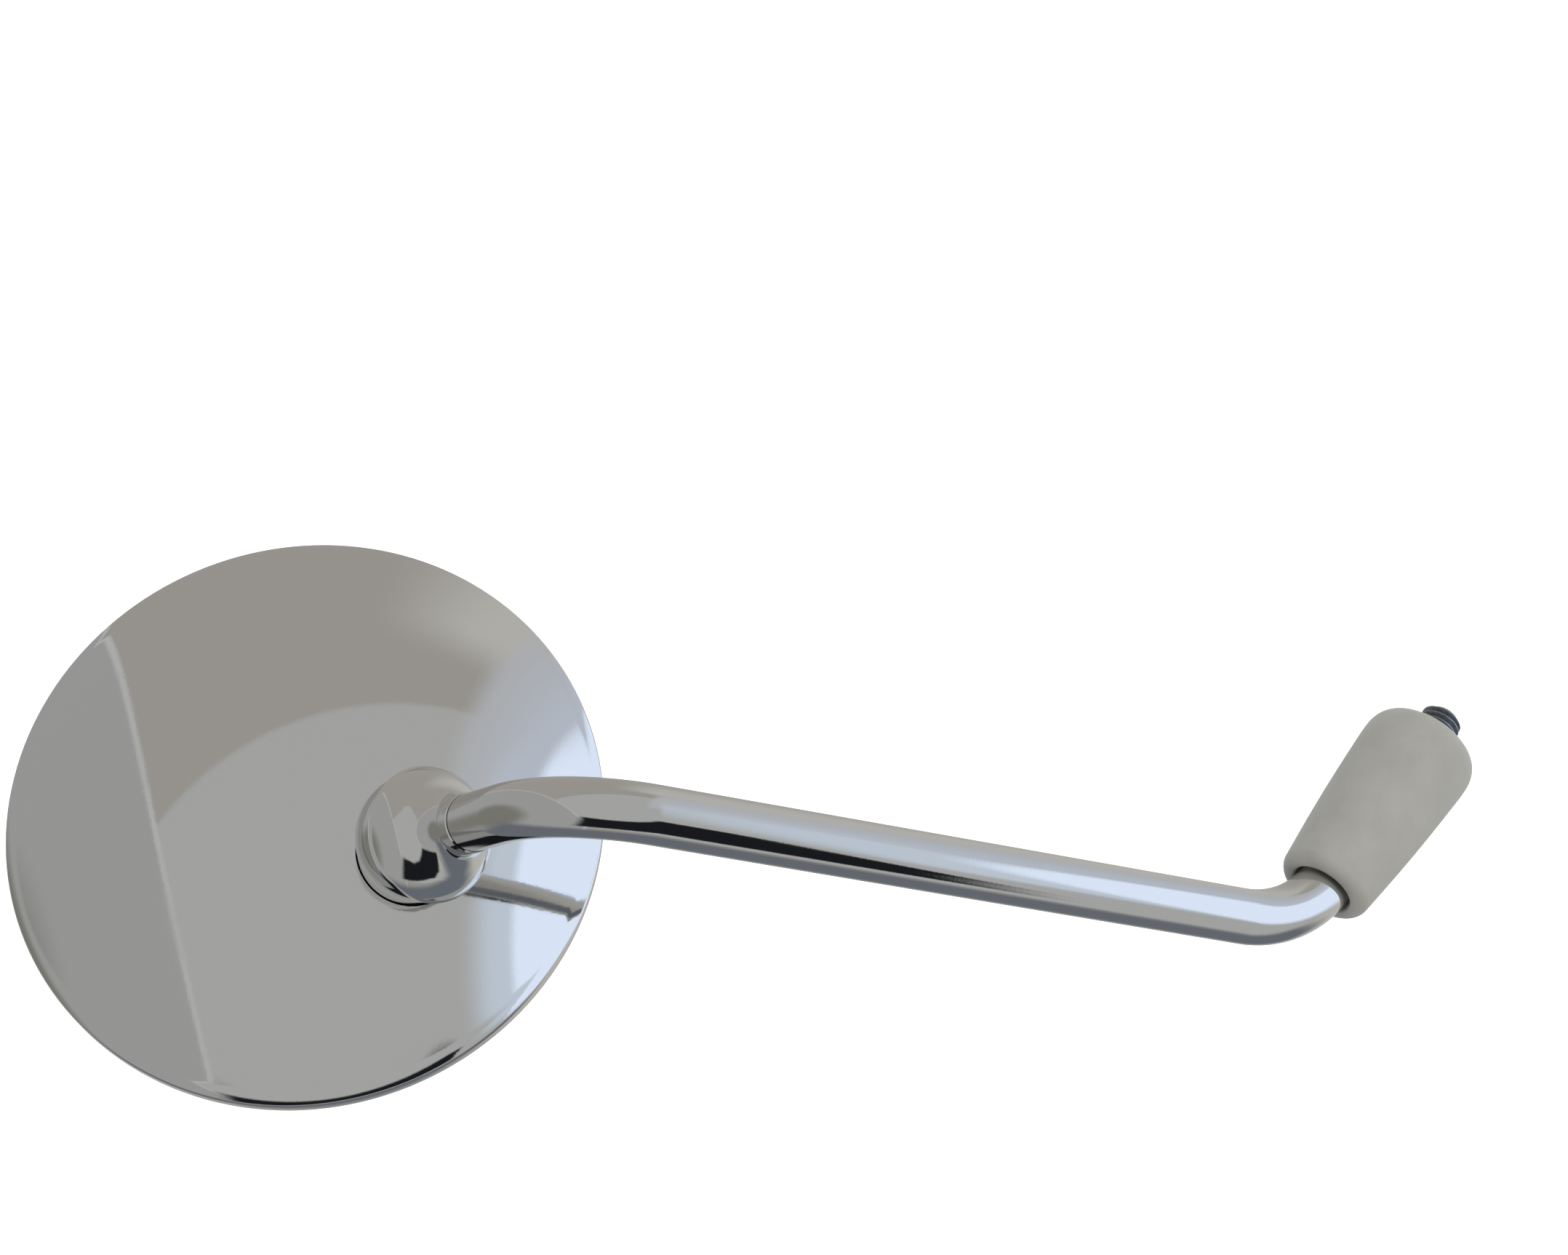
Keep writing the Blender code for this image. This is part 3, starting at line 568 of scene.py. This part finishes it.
def dress_node(context, name, slot):
    """Gives a CAD node its finish."""
    piece = frame["nodes"][name]
    piece.data.materials.clear()
    piece.data.materials.append(material_for(context, slot))
    piece.data.shade_smooth()
    piece.data.set_sharp_from_angle(angle=radians(35))


def thread(radius, pitch, depth, top, bottom, per_turn=48):
    """A helical outside thread between two heights, cut square at both ends and capped."""
    shape = bmesh.new()
    start = bottom - pitch
    shares = ((0.0, 1.0), (0.3125, 0.12), (0.4, 0.0), (0.5625, 0.0), (0.65, 0.12), (0.9375, 1.0), (1.0, 1.0))
    points = [shape.verts.new((radius - depth * share, 0, start + pitch * along)) for along, share in shares]
    edges = [shape.edges.new(pair) for pair in zip(points, points[1:])]
    turns = int((top - start) / pitch) + 2
    bmesh.ops.spin(
        shape,
        geom=points + edges,
        cent=(0, 0, 0),
        axis=(0, 0, 1),
        dvec=(0, 0, pitch / per_turn),
        angle=2 * pi * turns,
        steps=per_turn * turns,
        use_duplicate=False,
    )
    bmesh.ops.remove_doubles(shape, verts=shape.verts, dist=2e-6)
    for height, side in ((top, 1), (bottom, -1)):
        cut = bmesh.ops.bisect_plane(
            shape,
            geom=[*shape.verts, *shape.edges, *shape.faces],
            plane_co=(0, 0, height),
            plane_no=(0, 0, side),
            clear_outer=True,
        )
        rim = [item for item in cut["geom_cut"] if isinstance(item, bmesh.types.BMEdge)]
        bmesh.ops.remove_doubles(shape, verts=list({v for e in rim for v in e.verts}), dist=1e-6)
    bmesh.ops.holes_fill(shape, edges=[edge for edge in shape.edges if edge.is_boundary], sides=0)
    bmesh.ops.recalc_face_normals(shape, faces=shape.faces)
    return shape


# Operators


class MIRROR_OT_stem_tube(bpy.types.Operator):
    """Bend the chrome tube from the stud to the bell"""

    bl_idname = "mirror.stem_tube"
    bl_label = "Stem Tube"

    def execute(self, context):
        stem = context.scene.mirror_stem
        lower, upper, run, neck = stem_lines(stem)
        up = Vector((0, 0, 1))
        end = ball_centre() - neck * (BELL_NECK_END + GAP)
        shape = bmesh.new()
        bmesh.ops.create_circle(shape, cap_ends=False, radius=stem.tube_radius, segments=64)
        first = list(shape.edges)
        front = first
        for corner, before, after, angle in (
            (lower, up, run, stem.lower_bend),
            (upper, run, neck, stem.upper_bend),
        ):
            setback = stem.bend_radius * tan(angle / 2)
            front = self.straight(shape, front, before, corner - before * setback)
            inward = (after - before * before.dot(after)).normalized()
            middle = corner - before * setback + inward * stem.bend_radius
            axis = before.cross(after).normalized()
            front = self.bend(shape, front, middle, axis, angle)
        self.straight(shape, front, neck, end)
        bmesh.ops.recalc_face_normals(shape, faces=shape.faces)
        self.walled(context, shape, stem)
        return {"FINISHED"}

    def straight(self, shape, front, direction, target):
        """Extrudes the tube's open end until it lies in the plane through target."""
        made = bmesh.ops.extrude_edge_only(shape, edges=front)["geom"]
        points = [item for item in made if isinstance(item, bmesh.types.BMVert)]
        middle = sum((point.co for point in points), Vector()) / len(points)
        bmesh.ops.translate(shape, verts=points, vec=direction * (target - middle).dot(direction))
        return [item for item in made if isinstance(item, bmesh.types.BMEdge)]

    def bend(self, shape, front, middle, axis, angle):
        points = list({point for edge in front for point in edge.verts})
        made = bmesh.ops.spin(
            shape, geom=points + front, cent=middle, axis=axis, angle=angle, steps=40, use_duplicate=False
        )["geom_last"]
        return [item for item in made if isinstance(item, bmesh.types.BMEdge)]

    def walled(self, context, shape, stem):
        bmesh.ops.solidify(shape, geom=list(shape.faces), thickness=stem.tube_wall)
        # The wall grows to one side; it must grow inwards, so that the tube keeps its outside radius.
        lowest = [point.co for point in shape.verts if point.co.z < 1e-6]
        widest = max((Vector((co.x, co.y)).length for co in lowest), default=stem.tube_radius)
        if widest > stem.tube_radius + 1e-5:
            raise RuntimeError("the tube's wall grew outwards")
        bmesh.ops.recalc_face_normals(shape, faces=shape.faces)
        return add_piece(context, "chrome_stem_tube", shape, "chrome", "stem", ["stem_tube"], sharp=40)


class MIRROR_OT_stud(bpy.types.Operator):
    """Cut the M8 thread on the stud"""

    bl_idname = "mirror.stud"
    bl_label = "Threaded Stud"

    def execute(self, context):
        low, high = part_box("threaded_stud")
        radius = (high.x - low.x) / 2
        shape = thread(radius, 0.00125, 0.00077, -GAP, low.z)
        # The end is turned to a blunt nose.
        chamfer = 0.0011
        for point in shape.verts:
            allowed = radius - chamfer + min(chamfer, max(0.0, (point.co.z - low.z)))
            distance = Vector((point.co.x, point.co.y)).length
            if distance > allowed and point.co.z < low.z + chamfer:
                point.co.x *= allowed / distance
                point.co.y *= allowed / distance
        spigot = 0.0032
        outline = [(0, high.z), (spigot - 0.0004, high.z), (spigot, high.z - 0.0004), (spigot, 0.0), (0, 0.0)]
        add_piece(context, "stud_thread", shape, "zinc", "stem", ["threaded_stud"])
        add_piece(
            context, "stud_spigot", turned_shape(outline, 48, closed=False), "zinc", "stem", ["threaded_stud"]
        )
        return {"FINISHED"}


class MIRROR_OT_lock_nut(bpy.types.Operator):
    """Chamfer and bore the lock nut"""

    bl_idname = "mirror.lock_nut"
    bl_label = "Lock Nut"

    def execute(self, context):
        low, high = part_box("lock_nut")
        flats = high.x - low.x
        height = high.z - low.z
        middle = (high.z + low.z) / 2
        shape = bmesh.new()
        corner = flats / 2 / cos(radians(30))
        bmesh.ops.create_cone(
            shape,
            cap_ends=True,
            segments=6,
            radius1=corner,
            radius2=corner,
            depth=height,
            matrix=Matrix.Translation((0, 0, middle)),
        )
        nut = add_piece(context, "hex_lock_nut", shape, "zinc", "lock_nut", ["lock_nut"])
        outline = [(0, high.z + 0.001), (flats / 2 - 0.0003, high.z + 0.001), (flats / 2 - 0.0003, high.z)]
        outline += [(corner + 0.0004, high.z - 0.0012), (corner + 0.0004, low.z + 0.0012)]
        outline += [(flats / 2 - 0.0003, low.z), (flats / 2 - 0.0003, low.z - 0.001), (0, low.z - 0.001)]
        cut_with(context, nut, turned_shape(outline, 64, closed=False), "INTERSECT", sharp=20)
        # The drill is wider at each end, where it leaves the countersinks.
        bore = STUD_BORE
        drill = [(0, high.z + 0.001), (bore + 0.0016, high.z + 0.001), (bore, high.z - 0.0006)]
        drill += [(bore, low.z + 0.0006), (bore + 0.0016, low.z - 0.001), (0, low.z - 0.001)]
        cut_with(context, nut, turned_shape(drill, 64, closed=False), "DIFFERENCE", sharp=20)
        return {"FINISHED"}


class MIRROR_OT_washers(bpy.types.Operator):
    """Turn the plain washer and coil the spring washer"""

    bl_idname = "mirror.washers"
    bl_label = "Washers"

    def execute(self, context):
        low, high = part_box("plain_washer")
        outer = (high.x - low.x) / 2
        bore = STUD_BORE
        outline = [(bore, high.z), (outer - 0.0002, high.z), (outer, high.z - 0.0002)]
        outline += [(outer, low.z + 0.0002), (outer - 0.0002, low.z), (bore, low.z)]
        add_piece(
            context, "flat_washer", turned_shape(outline, 72), "zinc", "washers", ["plain_washer"]
        )
        low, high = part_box("spring_washer")
        outer = 0.0068
        thickness = 0.002
        rise = high.z - low.z - thickness
        shape = bmesh.new()
        sides = [(bore, high.z), (outer, high.z), (outer, high.z - thickness), (bore, high.z - thickness)]
        section = shape.faces.new([shape.verts.new((r, 0, z)) for r, z in sides])
        steps = 72
        bmesh.ops.spin(
            shape,
            geom=[section, *section.edges, *section.verts],
            cent=(0, 0, 0),
            axis=(0, 0, 1),
            dvec=(0, 0, -rise / steps),
            angle=radians(345),
            steps=steps,
            use_duplicate=False,
        )
        bmesh.ops.recalc_face_normals(shape, faces=shape.faces)
        coil = add_piece(context, "split_washer", shape, "spring_steel", "washers", ["spring_washer"])
        soften(coil, 0.00015)
        return {"FINISHED"}


class MIRROR_OT_sleeve(bpy.types.Operator):
    """Mould the rubber sleeve over the lock nut"""

    bl_idname = "mirror.sleeve"
    bl_label = "Rubber Sleeve"

    def execute(self, context):
        low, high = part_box("rubber_sleeve")
        wide = (high.x - low.x) / 2
        narrow = 0.0086
        wide_level = -0.0082
        top_round = 0.0022
        bottom_round = 0.0018
        mouth = 0.0056
        bore = 0.0053
        outline = [(mouth, high.z - 0.0004), (mouth + 0.0002, high.z - 0.0001), (mouth + 0.0005, high.z)]
        outline += arc(top_round, 8, 84, 6, (narrow - top_round, high.z - top_round))
        outline += self.flank(narrow, high.z - top_round, wide, wide_level)
        cavity = 0.0088
        # The lower edge is rounded twice as far up the side as it is in across the end.
        for across, down in arc(bottom_round, 92, 172, 8):
            outline.append((wide - bottom_round + across, low.z + 2 * (bottom_round + down)))
        outline[-1] = (cavity + 0.0003, low.z)
        outline += [(cavity, low.z + 0.0003), (cavity, 0.0078), (bore, 0.0088), (bore, 0.018)]
        shape = turned_shape(outline, 96)
        add_piece(context, "moulded_sleeve", shape, "grey_rubber", "sleeve", ["rubber_sleeve"], sharp=50)
        return {"FINISHED"}

    def flank(self, narrow, top, wide, bottom):
        """The sleeve's side: nearly straight, with a slight belly."""
        points = []
        steps = 14
        for step in range(1, steps + 1):
            share = step / steps
            belly = 0.00025 * sin(pi * share)
            points.append((narrow + (wide - narrow) * share + belly, top + (bottom - top) * share))
        points[-1] = (wide, bottom)
        return points


class MIRROR_OT_swivel(bpy.types.Operator):
    """Turn the bell that caps the ball, and dress the swivel's inner pieces"""

    bl_idname = "mirror.swivel"
    bl_label = "Swivel Bell"

    def execute(self, context):
        radius = 0.0122
        wall = 0.0005
        lip = 0.0031
        neck_start = 0.0086
        fillet = 0.0145
        neck_end = BELL_NECK_END
        bore = 0.0028
        neck_radius = 0.0052
        shoulder = degrees(acos(neck_start / radius))
        inner = radius - wall
        outline = [(bore, neck_end), (neck_radius - 0.0002, neck_end), (neck_radius, neck_end - 0.0002)]
        edge = radius * sin(radians(shoulder))
        for step in range(10):
            share = step / 10
            flared = neck_radius + (edge - neck_radius) * share**2.2
            outline.append((flared, fillet - (fillet - neck_start) * share))
        outline += arc(radius, shoulder, degrees(acos(lip / radius)) - 2, 14)
        outline += [(radius * 0.985, lip + 0.00005), (radius * 0.955, lip)]
        outline += arc(inner, degrees(acos(lip / inner)), degrees(asin(bore / inner)), 12)
        shape = turned_shape(outline, 96, place=bell_place(context))
        add_piece(context, "chrome_swivel_bell", shape, "chrome", "stem", ["swivel_bell"], sharp=40)
        for name, slot in (
            ("swivel_bolt", "zinc"),
            ("swivel_nut", "zinc"),
            ("spring_plate", "zinc"),
            ("pressure_cup", "zinc"),
            ("tension_spring", "spring_steel"),
            ("swivel_ring", "nylon"),
            ("friction_ring", "nylon"),
            ("reinforcing_plate", "zinc"),
            ("backing_pad", "foam"),
        ):
            dress_node(context, name, slot)
        return {"FINISHED"}


class MIRROR_OT_ball(bpy.types.Operator):
    """Turn the ball, its post and its flange"""

    bl_idname = "mirror.ball"
    bl_label = "Ball and Post"

    def execute(self, context):
        head = context.scene.mirror_head
        ball = 0.0114
        wall = 0.0009
        hole = 46
        post = POST_RADIUS
        bend = 0.0004
        flange = 0.0145
        flange_sheet = 0.001
        under = head.wall + GAP
        inner = ball - wall
        root = dome_level(head, post, under)
        edge = dome_level(head, flange, under)
        inside = post - flange_sheet
        outline = arc(ball, hole, 180 - degrees(asin(post / ball)) - 1.5, 28)
        outline += [(post, -0.0066), (post, root + bend), (post + bend, root - 0.0001)]
        outline += [(flange, edge), (flange, edge - flange_sheet), (inside, root - flange_sheet)]
        outline += arc(inner, 180 - degrees(asin(inside / inner)), hole, 28)
        shape = turned_shape(outline, 96, place=base_place(context))
        add_piece(context, "chrome_ball_post", shape, "chrome", "head", ["ball_base"], sharp=40)
        return {"FINISHED"}


class MIRROR_OT_shell(bpy.types.Operator):
    """Press the domed shell, roll its edge and pierce it for the post"""

    bl_idname = "mirror.shell"
    bl_label = "Domed Shell"

    def execute(self, context):
        head = context.scene.mirror_head
        sphere = dome_sphere(head)
        centre = (0, head.dome - sphere)
        inner_rim = head.radius - head.wall
        fold = inner_rim - 0.0009
        outline = arc(sphere, 0, degrees(asin(head.radius / sphere)) - 1.2, 60, centre)
        # The dome turns into the rim over a small radius, and the rim rolls in over the bezel.
        outline += arc(0.0014, 50, 88, 6, (head.radius - 0.0014, -0.0004))
        outline += arc(0.0009, 92, 182, 8, (head.radius - 0.0009, 0.0009 - head.rim_depth))
        outline += [(fold, 0.0002 - head.rim_depth), (fold, head.wall - head.rim_depth)]
        outline += [(inner_rim, head.wall - head.rim_depth)]
        inner_sphere = sphere - head.wall
        outline += arc(inner_sphere, degrees(asin(inner_rim / inner_sphere)), 0, 60, centre)
        outline[0] = (0, outline[0][1])
        outline[-1] = (0, outline[-1][1])
        shape = turned_shape(outline, 160, closed=False, place=head_place(context))
        shell = add_piece(context, "chrome_shell", shape, "chrome", "head", ["shell"], sharp=50)
        self.pierce(context, shell, head)
        return {"FINISHED"}

    def pierce(self, context, shell, head):
        radius = POST_RADIUS + GAP
        level = dome_level(head, POST_RADIUS, head.wall / 2)
        reach = 0.002
        outline = [(0, level + reach), (radius, level + reach), (radius, level - reach), (0, level - reach)]
        hole = turned_shape(outline, 96, closed=False, place=base_place(context))
        cut_with(context, shell, hole, "DIFFERENCE", sharp=50)


def glass_level(radius, behind):
    """Height of the glass's face at a radius, or of a face behind it."""
    return GLASS_FRONT + behind + radius**2 / (2 * GLASS_CURVE)


class MIRROR_OT_glass(bpy.types.Operator):
    """Fit the convex glass"""

    bl_idname = "mirror.glass"
    bl_label = "Mirror Glass"

    def execute(self, context):
        radius = context.scene.mirror_head.glass_radius
        thickness = 0.0023
        steps = 24
        ground = 0.0003
        shares = [step / steps for step in range(steps + 1)]
        outline = [(radius * share, glass_level(radius * share, thickness)) for share in shares]
        outline[-1] = (radius - ground, glass_level(radius - ground, thickness))
        outline += [(radius, glass_level(radius, thickness - ground)), (radius, glass_level(radius, ground))]
        face = [(radius * share, glass_level(radius * share, 0)) for share in reversed(shares)]
        face[0] = (radius - ground, glass_level(radius - ground, 0))
        outline += face
        shape = turned_shape(outline, 160, closed=False, place=head_place(context))
        add_piece(context, "convex_glass", shape, "silvered_glass", "head", ["mirror_glass"], sharp=30)
        return {"FINISHED"}


class MIRROR_OT_surround(bpy.types.Operator):
    """Fit the black gasket and the thin chrome bezel"""

    bl_idname = "mirror.surround"
    bl_label = "Gasket and Bezel"

    def execute(self, context):
        outer = 0.0515
        inner = 0.0487
        front = -0.0036
        back = 0.0009
        seat = context.scene.mirror_head.glass_radius + GAP
        outline = [(seat, back), (outer, back), (outer, front + 0.0004)]
        outline += arc(0.0004, 90, 180, 5, (outer - 0.0004, front + 0.0004))
        # A fine step halfway down the face, then the lip that lies on the glass.
        outline += [(0.0505, -0.0034), (0.0503, -0.0031), (0.0492, -0.0027)]
        outline += [(inner + 0.0001, -0.0024), (inner, glass_level(inner, -2 * GAP))]
        outline += [(inner, glass_level(inner, -GAP)), (seat, glass_level(seat, -GAP))]
        shape = turned_shape(outline, 160, place=head_place(context))
        add_piece(context, "rubber_gasket", shape, "black_rubber", "head", ["gasket"], sharp=60)

        inside = outer + GAP
        bead = 0.0529
        middle = (inside + bead) / 2
        half = (bead - inside) / 2
        outline = [(inside, -0.0006), (0.0539, -0.0006), (0.0539, -0.0025), (bead, -0.0025)]
        outline += arc(half, 90, 270, 12, (middle, -0.0039 + half))
        shape = turned_shape(outline, 160, place=head_place(context))
        add_piece(context, "chrome_bezel", shape, "chrome", "head", ["bezel_ring"], sharp=50)
        return {"FINISHED"}


class MIRROR_OT_stage(bpy.types.Operator):
    """Lay the floor, set the wall round it, hang the lights and set the camera"""

    bl_idname = "mirror.stage"
    bl_label = "Studio"

    def execute(self, context):
        paint = studio_paint(tuple(context.scene.mirror_finish.floor))
        floor = bmesh.new()
        place = Matrix.Translation((0, 0, FLOOR_LEVEL))
        bmesh.ops.create_grid(floor, x_segments=1, y_segments=1, size=9.0, matrix=place)
        self.lit_surface(context, "studio_floor", floor, paint)
        # A round white wall and roof stand behind the mirror from every side, and only the camera sees them.
        cove = bmesh.new()
        bmesh.ops.create_uvsphere(cove, u_segments=48, v_segments=24, radius=8.9, matrix=place)
        surround = self.lit_surface(context, "studio_cove", cove, paint)
        surround.visible_diffuse = False
        surround.visible_shadow = False
        self.lights(context)
        self.camera(context)
        return {"FINISHED"}

    def lit_surface(self, context, name, shape, paint):
        """A white surface that the chrome doesn't reflect: the chrome sees the room's walls instead."""
        mesh = bpy.data.meshes.new(name)
        shape.to_mesh(mesh)
        shape.free()
        mesh.materials.append(paint)
        surface = bpy.data.objects.new(name, mesh)
        surface.visible_glossy = False
        context.scene.collection.objects.link(surface)
        return surface

    def lights(self, context):
        context.scene.world = studio_room()
        target = ball_centre()
        for name, place, size, power, colour in (
            ("key_softbox", (0.5, 1.1, 1.2), 1.1, 16.0, "FFFCF4"),
            ("fill_softbox", (-1.2, 0.6, 0.9), 1.2, 8.0, "F4F7FF"),
            ("rear_softbox", (0.2, -1.4, 1.1), 1.3, 10.0, "FFFFFF"),
        ):
            light = bpy.data.lights.new(name, "AREA")
            light.shape = "SQUARE"
            light.size = size
            light.energy = power
            light.color = srgb(colour)[:3]
            lamp = bpy.data.objects.new(name, light)
            lamp.matrix_world = frame_along(Vector(place), Vector(place) - target)
            lamp.visible_glossy = False
            context.scene.collection.objects.link(lamp)
        context.scene.view_settings.view_transform = "Standard"

    def camera(self, context):
        camera = bpy.data.cameras.new("camera")
        camera.sensor_width = 36.0
        camera.lens = 53.06
        camera.clip_start = 0.01
        viewer = bpy.data.objects.new("camera", camera)
        back = -FAR_SIDE.normalized()
        right = (WINDOW_SIDE - back * WINDOW_SIDE.dot(back)).normalized()
        above = back.cross(right)
        turn = Matrix((right, above, back)).transposed().to_4x4()
        viewer.matrix_world = Matrix.Translation((-0.13326, 0.34842, 0.24164)) @ turn
        context.scene.collection.objects.link(viewer)
        context.scene.camera = viewer


class MIRROR_PT_panel(bpy.types.Panel):
    """Lists the steps that build the mirror"""

    bl_idname = "MIRROR_PT_panel"
    bl_label = "Motorcycle Mirror"
    bl_space_type = "VIEW_3D"
    bl_region_type = "UI"
    bl_category = "Mirror"

    def draw(self, context):
        for group in (context.scene.mirror_stem, context.scene.mirror_head, context.scene.mirror_finish):
            for name in group.__annotations__:
                self.layout.prop(group, name)
        for step in STEPS:
            self.layout.operator(step.bl_idname)


GROUPS = {"mirror_stem": MirrorStem, "mirror_head": MirrorHead, "mirror_finish": MirrorFinish}
STEPS = (
    MIRROR_OT_stage,
    MIRROR_OT_stem_tube,
    MIRROR_OT_stud,
    MIRROR_OT_lock_nut,
    MIRROR_OT_washers,
    MIRROR_OT_sleeve,
    MIRROR_OT_swivel,
    MIRROR_OT_ball,
    MIRROR_OT_shell,
    MIRROR_OT_surround,
    MIRROR_OT_glass,
)


def register():
    for kind in (*GROUPS.values(), *STEPS, MIRROR_PT_panel):
        bpy.utils.register_class(kind)
    for name, kind in GROUPS.items():
        setattr(bpy.types.Scene, name, bpy.props.PointerProperty(type=kind))


def unregister():
    for name in GROUPS:
        delattr(bpy.types.Scene, name)
    for kind in (MIRROR_PT_panel, *reversed(STEPS), *GROUPS.values()):
        bpy.utils.unregister_class(kind)


def main():
    register()
    for step in STEPS:
        group, name = step.bl_idname.split(".")
        getattr(getattr(bpy.ops, group), name)()


if __name__ == "__main__":
    main()
